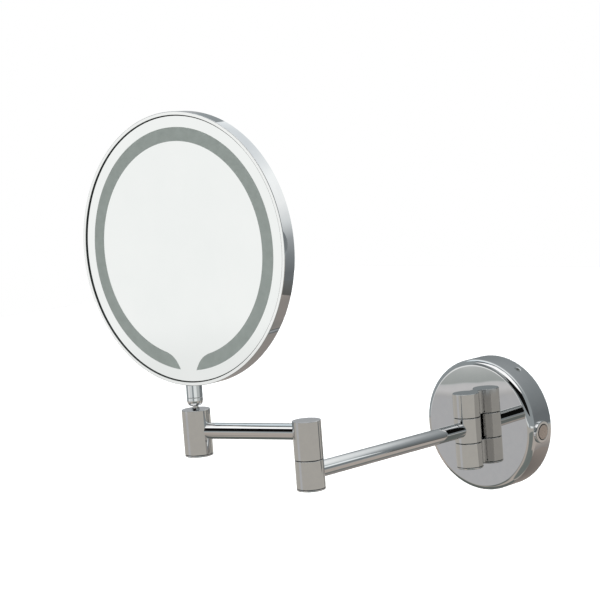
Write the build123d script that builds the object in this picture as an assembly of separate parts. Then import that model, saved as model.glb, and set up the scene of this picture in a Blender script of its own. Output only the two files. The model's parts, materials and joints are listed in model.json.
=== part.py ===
from build123d import *
import os
from math import atan2, cos, degrees, hypot, radians, sin, sqrt

# Extendable shaving mirror: a lit round mirror on two swinging arms, carried by a wall rose.
# Frame: origin at the centre of the rose on the wall plane. +Z is up, -Y points into the room.
# The arms are modelled in the half-folded pose in which the joints stand at zero.

# ------------------------------------------------------------ driving dimensions, mm and degrees
ROSE_D = 105.0
ROSE_DEPTH = 25.0
ROSE_EDGE_R = 5.0
ROSE_WALL = 1.5

KNUCKLE_D = 21.0
HINGE_STANDOFF = 13.0
PIVOT_D = 10.0
WEB_W = 8.0
RING_TOP = 9.4
RING_BOTTOM = -10.6
EAR_H = 19.0
WASHER_T = 0.5

TUBE_D = 12.0
TUBE_WALL = 1.0
LOWER_REACH = 174.5
UPPER_REACH = 89.0
LOWER_ARM_Z = 0.0
UPPER_ARM_Z = 29.2
LOWER_YAW = -2.2
UPPER_YAW = -71.2

ELBOW_BOTTOM = -11.3
ELBOW_TOP = 37.6
POST_BOTTOM = 12.4
POST_TOP = 45.4
CAP_T = 1.6
CAP_SEAM = 0.3
CAP_EDGE_R = 0.7
CAP_PLUG = 2.0
EDGE_BREAK = 0.3

BALL_Z = 51.1
BALL_D = 8.0
STUD_D = 6.0
NECK_D = 11.8
NECK_SEAM_Z = 54.3

HEAD_D = 200.0
HEAD_DEPTH = 11.0
HEAD_RISE = 112.4
HEAD_YAW = 4.3
HEAD_TILT = 0.9
GLASS_R = 97.0
GLASS_T = 1.9
GLASS_RECESS = 1.1
COAT_T = 0.1

SWITCH_Y = -13.5
SWITCH_ANGLE = -3.5
GRUB_Y = -7.0
GRUB_ANGLES = (56.5, 236.5)
WALL_SCREW_SPACING = 60.0
WALL_SCREW_HOLE_D = 5.0
CABLE_Z = 24.0
CABLE_BORE_D = 7.0

FIT = 0.05
LEAD_D = 2.4
LEAD_BEND = 5.0
LEAD_DROP = 3.5

# ------------------------------------------------------------ sizes that follow from them
ROSE_R = ROSE_D / 2
KNUCKLE_R = KNUCKLE_D / 2
PIVOT_R = PIVOT_D / 2
TUBE_R = TUBE_D / 2
TUBE_BORE_R = TUBE_R - TUBE_WALL
HEAD_R = HEAD_D / 2
BALL_R = BALL_D / 2
STUD_R = STUD_D / 2
NECK_R = NECK_D / 2
LEAD_R = LEAD_D / 2
HINGE_Y = -(ROSE_DEPTH + HINGE_STANDOFF)
SOCKET_R = KNUCKLE_R - 3.0
TUBE_SEAT = 2.3
LEAD_WAY_Y = 2.0
FRONT_Y = -HEAD_DEPTH / 2
GLASS_FRONT_Y = FRONT_Y + GLASS_RECESS
GLASS_BACK_Y = GLASS_FRONT_Y + GLASS_T
COAT_BACK_Y = GLASS_BACK_Y + COAT_T

# ------------------------------------------------------------ frames of the moving groups


def reach(start, yaw, length):
    """The point that an arm of this length ends at, from its start, in the horizontal plane."""
    return (start[0] + length * sin(radians(yaw)), start[1] - length * cos(radians(yaw)))


WALL_PIVOT = (0.0, HINGE_Y)
ELBOW_PIVOT = reach(WALL_PIVOT, LOWER_YAW, LOWER_REACH)
POST_PIVOT = reach(ELBOW_PIVOT, UPPER_YAW, UPPER_REACH)

AT_WALL_HINGE = Location((WALL_PIVOT[0], WALL_PIVOT[1], 0))
AT_LOWER_ARM = AT_WALL_HINGE * Location((0, 0, 0), (0, 0, LOWER_YAW))
AT_ELBOW = Location((ELBOW_PIVOT[0], ELBOW_PIVOT[1], 0), (0, 0, LOWER_YAW))
AT_UPPER_ARM = Location((ELBOW_PIVOT[0], ELBOW_PIVOT[1], 0), (0, 0, UPPER_YAW))
AT_POST = Location((POST_PIVOT[0], POST_PIVOT[1], 0), (0, 0, UPPER_YAW))
AT_BALL = Location((POST_PIVOT[0], POST_PIVOT[1], BALL_Z)) * Location((0, 0, 0), (0, 0, HEAD_YAW))
AT_NECK = AT_BALL * Location((0, 0, 0), (-HEAD_TILT, 0, 0))
AT_HEAD = AT_NECK * Location((0, 0, HEAD_RISE))

os.makedirs("parts", exist_ok=True)


def save(name, *solids, at=Location()):
    """Writes one piece, or a group of like pieces, to its own file."""
    placed = [one.moved(at) for group in solids for one in group.solids()]
    shape = placed[0] if len(placed) == 1 else Compound(placed)
    export_step(shape, "parts/" + name + ".step")


# ------------------------------------------------------------ simple solids


def rod(radius, low, high, x=0.0, y=0.0):
    """A round bar along Z from one height to another."""
    return Location((x, y, (low + high) / 2)) * Cylinder(radius, high - low)


def pipe(outer, inner, low, high, x=0.0, y=0.0):
    """A round bar along Z with a bore through it."""
    return rod(outer, low, high, x, y) - rod(inner, low - 1, high + 1, x, y)


def rod_y(radius, front, back, x=0.0, z=0.0):
    """A round bar along Y between two depths."""
    return Location((x, (front + back) / 2, z), (90, 0, 0)) * Cylinder(radius, back - front)


def pipe_y(outer, inner, front, back, x=0.0, z=0.0):
    """A ring or tube along Y."""
    return rod_y(outer, front, back, x, z) - rod_y(inner, front - 1, back + 1, x, z)


def block(x_range, y_range, z_range):
    """A box between two corners."""
    middle = [(low + high) / 2 for low, high in (x_range, y_range, z_range)]
    sides = [high - low for low, high in (x_range, y_range, z_range)]
    return Location(tuple(middle)) * Box(*sides)


def hex_rod(across_flats, low, high):
    """A hexagonal bar along Z."""
    outline = RegularPolygon(across_flats / sqrt(3), 6)
    return extrude(Plane.XY.offset(low) * outline, high - low)


def turned(*points):
    """A solid of revolution about Z from (radius, height) points."""
    outline = make_face(Polyline(*[(r, 0, z) for r, z in points], close=True))
    return revolve(outline, Axis.Z)


def screw(head_r, head_h, shank_r, length, slot=0.5):
    """A round-headed screw, head top at z = 0, shank going down, with a cross recess."""
    body = rod(head_r, -head_h, 0) + rod(shank_r, -head_h - length, -head_h)
    arm = head_r * 0.7
    depth = head_h * 0.5
    body -= block((-arm, arm), (-slot / 2, slot / 2), (-depth, 1))
    return body - block((-slot / 2, slot / 2), (-arm, arm), (-depth, 1))


def countersunk(head_r, head_h, shank_r, length, slot=0.5):
    """A countersunk screw, head top at z = 0, shank going down, with a cross recess."""
    body = turned((0, 0), (head_r, 0), (shank_r, -head_h), (shank_r, -length), (0, -length))
    arm = head_r * 0.6
    body -= block((-arm, arm), (-slot / 2, slot / 2), (-head_h * 0.5, 1))
    return body - block((-slot / 2, slot / 2), (-arm, arm), (-head_h * 0.5, 1))


def lead(*points):
    """A two-core lead: straight runs joined by arcs of the smallest radius that the knuckles leave."""
    path = FilletPolyline(*points, radius=LEAD_BEND) if len(points) > 2 else Line(*points)
    start = Plane(origin=path @ 0, z_dir=path % 0)
    return sweep(start * Circle(LEAD_R), path=path)


def end_cap(bore_r, seat_z):
    """The cap under a knuckle: a rounded disc, a recessed seam and a plug that presses into the bore."""
    disc = rod(KNUCKLE_R, seat_z - CAP_T, seat_z - CAP_SEAM)
    disc = fillet(disc.edges().group_by(Axis.Z)[0], CAP_EDGE_R)
    disc += rod(KNUCKLE_R - CAP_EDGE_R, seat_z - CAP_SEAM, seat_z)
    return disc + rod(bore_r - FIT, seat_z, seat_z + CAP_PLUG)


def knuckle(low, high):
    """A plain knuckle of round bar, its two edges just broken."""
    return chamfer(rod(KNUCKLE_R, low, high).edges().filter_by(GeomType.CIRCLE), EDGE_BREAK)


def tube_hole(z):
    """What an arm's tube takes out of a knuckle: its seat in the wall and the way on for the lead."""
    outside = -2 * KNUCKLE_R
    seat = rod_y(TUBE_R, outside, -(KNUCKLE_R - TUBE_SEAT), z=z)
    return seat + rod_y(TUBE_BORE_R, outside, -LEAD_WAY_Y, z=z)


HALF_TURN = Location((0, 0, 0), (0, 0, 180))

# ------------------------------------------------------------ wall bracket and rose


def at_rim(angle, y):
    """A frame on the rose's rim: its X axis points outwards at this angle, Y is the rose's own Y."""
    return Location((0, y, 0)) * Location((0, 0, 0), (0, -angle, 0))


def cup(radius, depth, edge):
    """The solid inside the rose's outline, offset inwards for its hollow."""
    body = rod_y(radius, -depth, 0)
    return fillet(body.edges().filter_by(GeomType.CIRCLE).sort_by(Axis.Y)[0], edge)


rose_outer = cup(ROSE_R, ROSE_DEPTH, ROSE_EDGE_R)
rose_inner = cup(ROSE_R - ROSE_WALL, ROSE_DEPTH - ROSE_WALL, ROSE_EDGE_R - ROSE_WALL)
rose_inner += rod_y(ROSE_R - ROSE_WALL, -1, 1)

EAR_MIDDLES = (RING_TOP + EAR_H / 2, RING_BOTTOM - EAR_H / 2)
EAR_SCREW_OFFSET = 5.6
EAR_SCREW_R = 2.0
LEAD_HOLE_R = 1.8
ear_screw_heights = [mid + step for mid in EAR_MIDDLES for step in (-EAR_SCREW_OFFSET, EAR_SCREW_OFFSET)]
lead_exit_z = EAR_MIDDLES[1]

BARREL_R = 7.0
BEZEL_R = 9.0
BEZEL_TOP = ROSE_R + 2.0
GRUB_R = 2.0
INSIDE_FACE = -(ROSE_DEPTH - ROSE_WALL)
PLATE_T = 2.0
SCREW_CLEARANCE = 0.2
RIM_DRILL = (40.0, 60.0)

# the rose is a drawn cup, pierced for the hinge screws, the lead, the switch and the grub screws
rose = rose_outer - rose_inner
through_face = (-ROSE_DEPTH - 1, INSIDE_FACE + 1)
for z in ear_screw_heights:
    rose -= rod_y(EAR_SCREW_R + SCREW_CLEARANCE, *through_face, z=z)
rose -= rod_y(LEAD_HOLE_R, *through_face, z=lead_exit_z)
along_rim_x = Location((0, 0, 0), (0, 90, 0))
rose -= at_rim(SWITCH_ANGLE, SWITCH_Y) * along_rim_x * rod(BARREL_R + FIT, *RIM_DRILL)
for angle in GRUB_ANGLES:
    rose -= at_rim(angle, GRUB_Y) * along_rim_x * rod(GRUB_R + FIT, *RIM_DRILL)
save("rose_shell", rose)

# a steel strip inside the face spreads the load of the arm
BACKING_HALF_W = 14.0
BACKING_HALF_H = 34.0
plate_back = INSIDE_FACE + PLATE_T
through_plate = (INSIDE_FACE - 1, plate_back + 1)
backing = block(
    (-BACKING_HALF_W, BACKING_HALF_W), (INSIDE_FACE, plate_back), (-BACKING_HALF_H, BACKING_HALF_H)
)
for z in ear_screw_heights:
    backing -= rod_y(EAR_SCREW_R + SCREW_CLEARANCE, *through_plate, z=z)
backing -= rod_y(LEAD_HOLE_R, *through_plate, z=lead_exit_z)
save("rose_backing_plate", backing)

# the bracket stays on the wall: a disc with two lugs that the grub screws bite on
BRACKET_R = 47.0
BRACKET_T = 1.5
LUG_ROOT_R = 40.0
LUG_R = 49.0
LUG_DEPTH = 11.0
LUG_HALF_W = 7.0
GROMMET_R = 6.0
GROMMET_LIP_R = 8.0
GROMMET_LIP_T = 1.5
through_bracket = (-5, 5)
bracket = rod_y(BRACKET_R, -BRACKET_T, 0)
for angle in GRUB_ANGLES:
    lug_width = (-LUG_HALF_W, LUG_HALF_W)
    bracket += at_rim(angle, 0) * block((LUG_ROOT_R, LUG_R), (-BRACKET_T, 0), lug_width)
    bracket += at_rim(angle, 0) * block((LUG_R - BRACKET_T, LUG_R), (-LUG_DEPTH, 0), lug_width)
for side in (-1, 1):
    x = side * WALL_SCREW_SPACING / 2
    bracket -= rod_y(WALL_SCREW_HOLE_D / 2, *through_bracket, x=x)
bracket -= rod_y(GROMMET_R, *through_bracket, z=CABLE_Z)
save("wall_bracket", bracket)

GRUB_SUNK = 0.2
GRUB_KEY = 2.0
GRUB_KEY_DEPTH = 1.5
grub_top = ROSE_R - GRUB_SUNK
grubs = []
for angle in GRUB_ANGLES:
    grub = rod(GRUB_R, LUG_R, grub_top) - hex_rod(GRUB_KEY, grub_top - GRUB_KEY_DEPTH, ROSE_R)
    grubs.append(at_rim(angle, GRUB_Y) * along_rim_x * grub)
save("rose_grub_screws", *grubs)

# the grommet lines the cable hole, with a lip on the room side of the bracket
grommet = rod_y(GROMMET_R - FIT, -BRACKET_T, 0, z=CABLE_Z)
grommet += rod_y(GROMMET_LIP_R, -BRACKET_T - GROMMET_LIP_T, -BRACKET_T, z=CABLE_Z)
grommet -= rod_y(CABLE_BORE_D / 2, *through_bracket, z=CABLE_Z)
save("cable_grommet", grommet)

# ------------------------------------------------------------ electrics in the rose
TERMINAL_X = (10.0, 30.0)
TERMINAL_Z = (18.0, 30.0)
TERMINAL_Y = (-BRACKET_T - 10.0, -BRACKET_T)
TERMINAL_SCREW_X = (15.0, 25.0)
TERMINAL_SCREW_Z = 24.0
TERMINAL_WELL_R = 2.2
TERMINAL_WELL_DEPTH = 4.0
terminal = block(TERMINAL_X, TERMINAL_Y, TERMINAL_Z)
terminal_screws = []
for x in TERMINAL_SCREW_X:
    face_y = TERMINAL_Y[0]
    terminal -= rod_y(TERMINAL_WELL_R, face_y - 1, face_y + TERMINAL_WELL_DEPTH, x=x, z=TERMINAL_SCREW_Z)
    spot = Location((x, face_y + 1.0, TERMINAL_SCREW_Z), (90, 0, 0))
    terminal_screws.append(spot * screw(head_r=2.0, head_h=1.2, shank_r=1.4, length=1.8))
save("terminal_block", terminal)
save("terminal_screws", *terminal_screws)

DRIVER_X = (-41.0, -16.0)
DRIVER_Z = (-22.0, 22.0)
DRIVER_Y = (INSIDE_FACE, INSIDE_FACE + 14.0)
DRIVER_EDGE_R = 1.5
driver = block(DRIVER_X, DRIVER_Y, DRIVER_Z)
driver = fillet(driver.edges().group_by(Axis.Y)[-1], DRIVER_EDGE_R)
save("led_driver", driver)

# ------------------------------------------------------------ push switch in the rim
BUTTON_R = 5.9
BUTTON_BORE_R = 6.25
BUTTON_PROUD = 0.4
BUTTON_LOW = 50.5
BUTTON_EDGE_R = 0.5
STEM_HOLE_R = 3.5
STEM_LOW = 44.0
BORE_FLOOR = 48.0
BARREL_LOW = 40.0
BEZEL_SINK = 0.6
BEZEL_EDGE_R = 0.9
NUT_LOW = 46.5
NUT_HIGH = 49.5
GASKET_TOP = 52.0
CONTACT_LOW = 31.0
TAB_LOW = 26.0
TAB_OFFSET = 3.0
TAB_HALF_W = 1.2
TAB_HALF_T = 0.4
AT_SWITCH = at_rim(SWITCH_ANGLE, SWITCH_Y) * along_rim_x

bezel = rod(BEZEL_R, ROSE_R - BEZEL_SINK, BEZEL_TOP)
bezel = fillet(bezel.edges().filter_by(GeomType.CIRCLE).group_by(Axis.Z)[-1], BEZEL_EDGE_R)
bezel += rod(BARREL_R, BARREL_LOW, ROSE_R)
bezel -= rod(BUTTON_BORE_R, BORE_FLOOR, BEZEL_TOP + 5.5)
bezel -= rod(STEM_HOLE_R, BARREL_LOW - 1, BORE_FLOOR + 1)
save("switch_bezel", AT_SWITCH * bezel - rose)

gasket = AT_SWITCH * pipe(BEZEL_R, BARREL_R + FIT, NUT_HIGH, GASKET_TOP) & rose_inner
save("switch_gasket", gasket)
nut = pipe(BEZEL_R, BARREL_R + FIT, NUT_LOW, NUT_HIGH)
for turn in range(4):
    notch = block((BEZEL_R - 1, BEZEL_R + 1), (-1, 1), (NUT_LOW - 0.5, NUT_HIGH + 0.5))
    nut -= Location((0, 0, 0), (0, 0, 90 * turn)) * notch
save("switch_nut", nut, at=AT_SWITCH)

button = rod(BUTTON_R, BUTTON_LOW, BEZEL_TOP + BUTTON_PROUD)
button = fillet(button.edges().filter_by(GeomType.CIRCLE).group_by(Axis.Z)[-1], BUTTON_EDGE_R)
button += rod(STEM_HOLE_R - FIT, STEM_LOW, BUTTON_LOW)
save("switch_button", button, at=AT_SWITCH)

contact = rod(BARREL_R, CONTACT_LOW, BARREL_LOW)
for y in (-TAB_OFFSET, TAB_OFFSET):
    contact += block((-TAB_HALF_T, TAB_HALF_T), (y - TAB_HALF_W, y + TAB_HALF_W), (TAB_LOW, CONTACT_LOW))
save("switch_contact_block", contact, at=AT_SWITCH)

SPRING_WIRE_R = 0.25
coil = Helix(pitch=1.0, height=2.9, radius=2.2)
wire = sweep(Plane(origin=coil @ 0, z_dir=coil % 0) * Circle(SPRING_WIRE_R), path=coil)
save("switch_spring", Location((0, 0, BARREL_LOW + 2 * SPRING_WIRE_R)) * wire, at=AT_SWITCH)

# ------------------------------------------------------------ wall hinge
PIVOT_BORE_R = 3.0
PIVOT_GRIP = 6.2
PIVOT_REACH = 4.5
EAR_SCREW_END = 6.5
EAR_LEAD_END = 2.0
WASHER_SET_IN = 0.6


def ear(low, high):
    """A hinge ear: round bar with a flat web back to the rose's face."""
    web = block((-WEB_W / 2, WEB_W / 2), (0, HINGE_STANDOFF), (low, high))
    return knuckle(low, high) + web


def ear_screw_holes(body):
    """Drills an ear's web for its two screws from inside the rose."""
    for z in ear_screw_heights:
        body -= rod_y(EAR_SCREW_R, EAR_SCREW_END, HINGE_STANDOFF + 1, z=z)
    return body


seam_half = WASHER_T / 2
upper_ear_low = RING_TOP + seam_half
lower_ear_high = RING_BOTTOM - seam_half
lower_ear_low = RING_BOTTOM - EAR_H
upper_ear = ear(upper_ear_low, RING_TOP + EAR_H)
upper_ear -= rod(PIVOT_R, upper_ear_low - 1, upper_ear_low + PIVOT_GRIP)
save("hinge_ear_upper", ear_screw_holes(upper_ear), at=AT_WALL_HINGE)

lower_ear = ear(lower_ear_low, lower_ear_high) - rod(PIVOT_R, lower_ear_low - 1, lower_ear_high + 1)
lower_ear -= rod_y(LEAD_HOLE_R, EAR_LEAD_END, HINGE_STANDOFF + 1, z=lead_exit_z)
save("hinge_ear_lower", ear_screw_holes(lower_ear), at=AT_WALL_HINGE)

# two short hollow pivots, one held in each ear, carry the ring and leave its middle free for the lead
ring_low = RING_BOTTOM + seam_half
ring_high = RING_TOP - seam_half
upper_pivot = pipe(PIVOT_R - FIT, PIVOT_BORE_R, ring_high - PIVOT_REACH, upper_ear_low + PIVOT_GRIP)
lower_pivot = pipe(PIVOT_R - FIT, PIVOT_BORE_R, lower_ear_high - PIVOT_GRIP, ring_low + PIVOT_REACH)
save("wall_pivot_upper", upper_pivot, at=AT_WALL_HINGE)
save("wall_pivot_lower", lower_pivot, at=AT_WALL_HINGE)

washers = []
for seam in (RING_TOP, RING_BOTTOM):
    low, high = seam - seam_half + FIT, seam + seam_half - FIT
    washers.append(pipe(KNUCKLE_R - WASHER_SET_IN, PIVOT_R + FIT, low, high))
save("wall_hinge_washers", *washers, at=AT_WALL_HINGE)
save("wall_hinge_cap", end_cap(PIVOT_R, lower_ear_low), at=AT_WALL_HINGE)

EAR_SCREW_HEAD_R = 3.5
EAR_SCREW_HEAD_H = 2.0
ear_shank = plate_back - (HINGE_Y + EAR_SCREW_END) - 0.3
ear_screws = []
for z in ear_screw_heights:
    spot = Location((0, plate_back + EAR_SCREW_HEAD_H, z), (-90, 0, 0))
    shank_r = EAR_SCREW_R - 0.02
    ear_screws.append(spot * screw(EAR_SCREW_HEAD_R, EAR_SCREW_HEAD_H, shank_r, ear_shank, slot=0.9))
save("hinge_ear_screws", *ear_screws)

# ------------------------------------------------------------ lower arm


def arm_tube(length, z):
    """An arm: round tube seated in the walls of its two knuckles."""
    front = -(length - KNUCKLE_R + TUBE_SEAT)
    return pipe_y(TUBE_R, TUBE_BORE_R, front, -(KNUCKLE_R - TUBE_SEAT), z=z)


ring = knuckle(ring_low, ring_high) - rod(PIVOT_R, ring_low - 1, ring_high + 1)
save("wall_hinge_ring", ring - tube_hole(LOWER_ARM_Z), at=AT_LOWER_ARM)
save("lower_arm_tube", arm_tube(LOWER_REACH, LOWER_ARM_Z), at=AT_LOWER_ARM)

BOLT_HEAD_LOW = 0.9
BOLT_HEAD_HIGH = 3.9
ELBOW_WEB = 4.9
BOLT_BORE_R = 2.2
KNUCKLE_END_T = 3.0
elbow_low_top = RING_TOP - seam_half
elbow_high_bottom = RING_TOP + seam_half
lower_knuckle = knuckle(ELBOW_BOTTOM, elbow_low_top) - rod(SOCKET_R, ELBOW_BOTTOM - 1, ELBOW_WEB)
lower_knuckle -= rod(PIVOT_R, 0, 20)
lower_knuckle -= HALF_TURN * tube_hole(LOWER_ARM_Z)
save("elbow_lower_knuckle", lower_knuckle, at=AT_ELBOW)
save("elbow_cap", end_cap(SOCKET_R, ELBOW_BOTTOM), at=AT_ELBOW)
elbow_washer = pipe(
    KNUCKLE_R - WASHER_SET_IN, PIVOT_R + FIT, elbow_low_top, elbow_high_bottom - FIT
)
save("elbow_washer", elbow_washer, at=AT_ELBOW)
SPRING_T = 0.4
SPRING_RISE = 0.45
low_edge = ELBOW_WEB - FIT - SPRING_T - SPRING_RISE
disc_spring = turned(
    (5.2, low_edge + SPRING_RISE), (5.2, ELBOW_WEB - FIT), (7.2, low_edge + SPRING_T), (7.2, low_edge)
)
save("elbow_disc_spring", disc_spring, at=AT_ELBOW)

lower_run_z = LOWER_ARM_Z - LEAD_DROP
wall_cut_z = lower_ear_high + 1.35
elbow_cut_z = 3.0
lower_lead = lead(
    (0, 0, wall_cut_z), (0, 0, lower_run_z), (0, -LOWER_REACH, lower_run_z), (0, -LOWER_REACH, elbow_cut_z)
)
save("lower_arm_lead", lower_lead, at=AT_LOWER_ARM)

# ------------------------------------------------------------ upper arm
BOLT_GRIP = 18.0
BOLT_HEX = 12.0
upper_knuckle = knuckle(elbow_high_bottom, ELBOW_TOP)
upper_knuckle -= rod(PIVOT_R, elbow_high_bottom - 1, ELBOW_TOP - KNUCKLE_END_T)
save("elbow_upper_knuckle", upper_knuckle - tube_hole(UPPER_ARM_Z), at=AT_UPPER_ARM)
save("upper_arm_tube", arm_tube(UPPER_REACH, UPPER_ARM_Z), at=AT_UPPER_ARM)

# the hollow elbow bolt turns in the lower knuckle's web and is screwed into the upper knuckle
bolt = hex_rod(BOLT_HEX, BOLT_HEAD_LOW, BOLT_HEAD_HIGH) + rod(PIVOT_R - FIT, BOLT_HEAD_HIGH, BOLT_GRIP)
bolt -= rod(BOLT_BORE_R, 0, 20)
save("elbow_pivot_bolt", bolt, at=AT_UPPER_ARM)

POST_WEB = 4.5
post = knuckle(POST_BOTTOM, POST_TOP) - rod(SOCKET_R, POST_BOTTOM - 1, POST_TOP - POST_WEB)
post -= rod(STUD_R + FIT, POST_TOP - 10, POST_TOP + 1)
save("head_post", post - HALF_TURN * tube_hole(UPPER_ARM_Z), at=AT_POST)
save("head_post_cap", end_cap(SOCKET_R, POST_BOTTOM), at=AT_POST)

upper_run_z = UPPER_ARM_Z - LEAD_DROP
post_cut_z = 33.0
upper_lead = lead(
    (0, 0, elbow_cut_z), (0, 0, upper_run_z), (0, -UPPER_REACH, upper_run_z), (0, -UPPER_REACH, post_cut_z)
)
save("upper_arm_lead", upper_lead, at=AT_UPPER_ARM)

# ------------------------------------------------------------ ball stud, swivelling in the post
STUD_BORE_R = 1.5
WAIST_R = 2.2
STUD_LOW = 34.5
SHOULDER_Z = 46.2
WAIST_TAPER = 0.6
FLARE_R = 3.4
FLARE_H = 5.0
STUD_NUT_HEX = 10.0
STUD_NUT_LOW = 36.2
STUD_NUT_H = 2.9
waist_top = BALL_Z - sqrt(BALL_R**2 - WAIST_R**2) + 0.2
stud = turned(
    (0, STUD_LOW), (STUD_R, STUD_LOW), (STUD_R, SHOULDER_Z), (WAIST_R, SHOULDER_Z + WAIST_TAPER),
    (WAIST_R, waist_top), (0, waist_top)
)
stud += Location((0, 0, BALL_Z)) * Sphere(BALL_R)
stud -= rod(STUD_BORE_R, STUD_LOW - 1, BALL_Z + 1)
flare = turned((0, BALL_Z), (STUD_BORE_R, BALL_Z), (FLARE_R, BALL_Z + FLARE_H), (0, BALL_Z + FLARE_H))
save("ball_stud", stud - flare, at=AT_POST)

web_under = POST_TOP - POST_WEB
stud_washer = pipe(6.0, STUD_R + FIT, web_under - 0.8, web_under - FIT)
nut_top = STUD_NUT_LOW + STUD_NUT_H
inner_low = nut_top + 0.1
outer_low = inner_low + SPRING_RISE
stud_spring = turned(
    (3.2, inner_low), (3.2, inner_low + SPRING_T), (5.6, outer_low + SPRING_T), (5.6, outer_low)
)
stud_nut = hex_rod(STUD_NUT_HEX, STUD_NUT_LOW, nut_top) - rod(STUD_R, STUD_NUT_LOW - 1, nut_top + 1)
save("stud_washer", stud_washer, at=AT_POST)
save("stud_disc_spring", stud_spring, at=AT_POST)
save("stud_nut", stud_nut, at=AT_POST)
save("stud_lead", lead((0, 0, post_cut_z), (0, 0, BALL_Z - 1)), at=AT_POST)

# ------------------------------------------------------------ ball joint and neck, about the ball's centre
SEAT_INNER_R = BALL_R + FIT
SEAT_OUTER_R = BALL_R + 0.75
CAVITY_R = SEAT_OUTER_R + FIT
SEAT_LOW = -2.2
SEAT_HIGH = 1.6
MOUTH = -2.7
seam_z = NECK_SEAM_Z - BALL_Z
neck_top = HEAD_RISE - HEAD_R + 1.0

seat = Sphere(SEAT_OUTER_R) - Sphere(SEAT_INNER_R)
seat &= rod(CAVITY_R, SEAT_LOW, SEAT_HIGH)
save("ball_seat", seat, at=AT_BALL)

SEAM_HALF = 0.15
COLLAR_SHOULDER = 0.9
mouth_r = sqrt(CAVITY_R**2 - MOUTH**2)
collar_top = seam_z - SEAM_HALF
collar_side = make_face(
    Polyline(
        (mouth_r, 0, MOUTH), (0, 0, MOUTH), (0, 0, collar_top),
        (NECK_R, 0, collar_top), (NECK_R, 0, COLLAR_SHOULDER)
    )
    + ThreePointArc((NECK_R, 0, COLLAR_SHOULDER), (NECK_R - 0.45, 0, -1.0), (mouth_r + 0.5, 0, MOUTH))
    + Line((mouth_r + 0.5, 0, MOUTH), (mouth_r, 0, MOUTH))
)
collar = revolve(collar_side, Axis.Z) - Sphere(CAVITY_R)
collar -= rod(CAVITY_R, 0, seam_z + 1)
save("socket_collar", collar, at=AT_NECK)

SPIGOT_R = 2.3
SPIGOT_END_R = 90.0
LEAD_BORE_R = STUD_BORE_R + 0.1
neck_low = seam_z + SEAM_HALF
spigot_top = HEAD_RISE - SPIGOT_END_R
neck = rod(NECK_R, neck_low, neck_top) + rod(CAVITY_R - 0.02, 1.0, neck_low)
neck -= Location((0, 0, HEAD_RISE)) * rod_y(HEAD_R, -20, 20)
neck += rod(SPIGOT_R, neck_top - 3, spigot_top)
neck -= Sphere(CAVITY_R)
neck -= rod(LEAD_BORE_R, 0, 40)
save("neck_socket", neck, at=AT_NECK)
head_lead_start = 5.4
save("ball_lead", lead((0, 0, -0.8), (0, 0, head_lead_start - 0.2)), at=AT_NECK)

# ------------------------------------------------------------ mirror head, about its own centre
RIM_LIP_R = GLASS_R + 0.25
RIM_WALL_R = HEAD_R - 1.5
RIM_STEP_Y = -2.2
TRAY_R = RIM_WALL_R - 0.1
CHANNEL_OUTER_R = 92.5
CHANNEL_INNER_R = 75.0
TRAY_HOLE_R = 73.5
TAPE_OUTER_R = 96.8
TRAY_PLATE_Y = (2.4, 3.4)
RIM_EDGE_R = 0.35
GLASS_CHAMFER = 0.3
SCREW_PILOT_R = 1.3
COVER_Y = (4.0, 5.2)

rim = rod_y(HEAD_R, FRONT_Y, -FRONT_Y)
rim = fillet(rim.edges().filter_by(GeomType.CIRCLE), RIM_EDGE_R)
rim -= rod_y(RIM_LIP_R, FRONT_Y - 1, RIM_STEP_Y)
rim -= rod_y(RIM_WALL_R, RIM_STEP_Y, -FRONT_Y + 1)
rim -= rod(SPIGOT_R + FIT, -HEAD_R - 5, -HEAD_R + 10)
save("rim_band", rim, at=AT_HEAD)

glass = rod_y(GLASS_R, GLASS_FRONT_Y, GLASS_BACK_Y)
glass = chamfer(glass.edges().filter_by(GeomType.CIRCLE).group_by(Axis.Y)[0], GLASS_CHAMFER)
save("mirror_glass", glass, at=AT_HEAD)

# the lit band is a ring that stops short either side of the neck, with ends that curve in to a tail
BAND_END = ((20.5, -75.9), (15.8, -78.2), (12.0, -81.6), (9.6, -85.0), (7.8, -88.4))


def band_region(front, back):
    """The lit band's outline, from one depth to another."""
    inner_angle = degrees(atan2(BAND_END[0][1], BAND_END[0][0]))
    outer_angle = degrees(atan2(BAND_END[-1][1], BAND_END[-1][0]))
    right = Spline([(x, z) for x, z in BAND_END])
    left = Spline([(-x, z) for x, z in BAND_END])
    inner_r = hypot(*BAND_END[0])
    outer_r = hypot(*BAND_END[-1])
    inner = CenterArc((0, 0), inner_r, inner_angle, 180 - 2 * inner_angle)
    outer = CenterArc((0, 0), outer_r, outer_angle, 180 - 2 * outer_angle)
    face = make_face(inner + outer + right + left)
    return Location((0, back, 0), (90, 0, 0)) * extrude(face, back - front)


coat = rod_y(GLASS_R - GLASS_CHAMFER, GLASS_BACK_Y, COAT_BACK_Y)
coat -= band_region(GLASS_BACK_Y - 1, COAT_BACK_Y + 1)
save("mirror_silvering", coat, at=AT_HEAD)

BLOCK_X = 7.0
BLOCK_Z = (-97.0, -84.0)
neck_notch = block((-BLOCK_X - FIT, BLOCK_X + FIT), (-5, TRAY_PLATE_Y[0]), (-100, BLOCK_Z[1] + FIT))
tape = [
    pipe_y(TAPE_OUTER_R, CHANNEL_OUTER_R + 0.4, COAT_BACK_Y, RIM_STEP_Y) - neck_notch,
    pipe_y(CHANNEL_INNER_R - 0.1, TRAY_HOLE_R - 0.1, COAT_BACK_Y, RIM_STEP_Y),
]
save("glass_tape", *tape, at=AT_HEAD)

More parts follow.
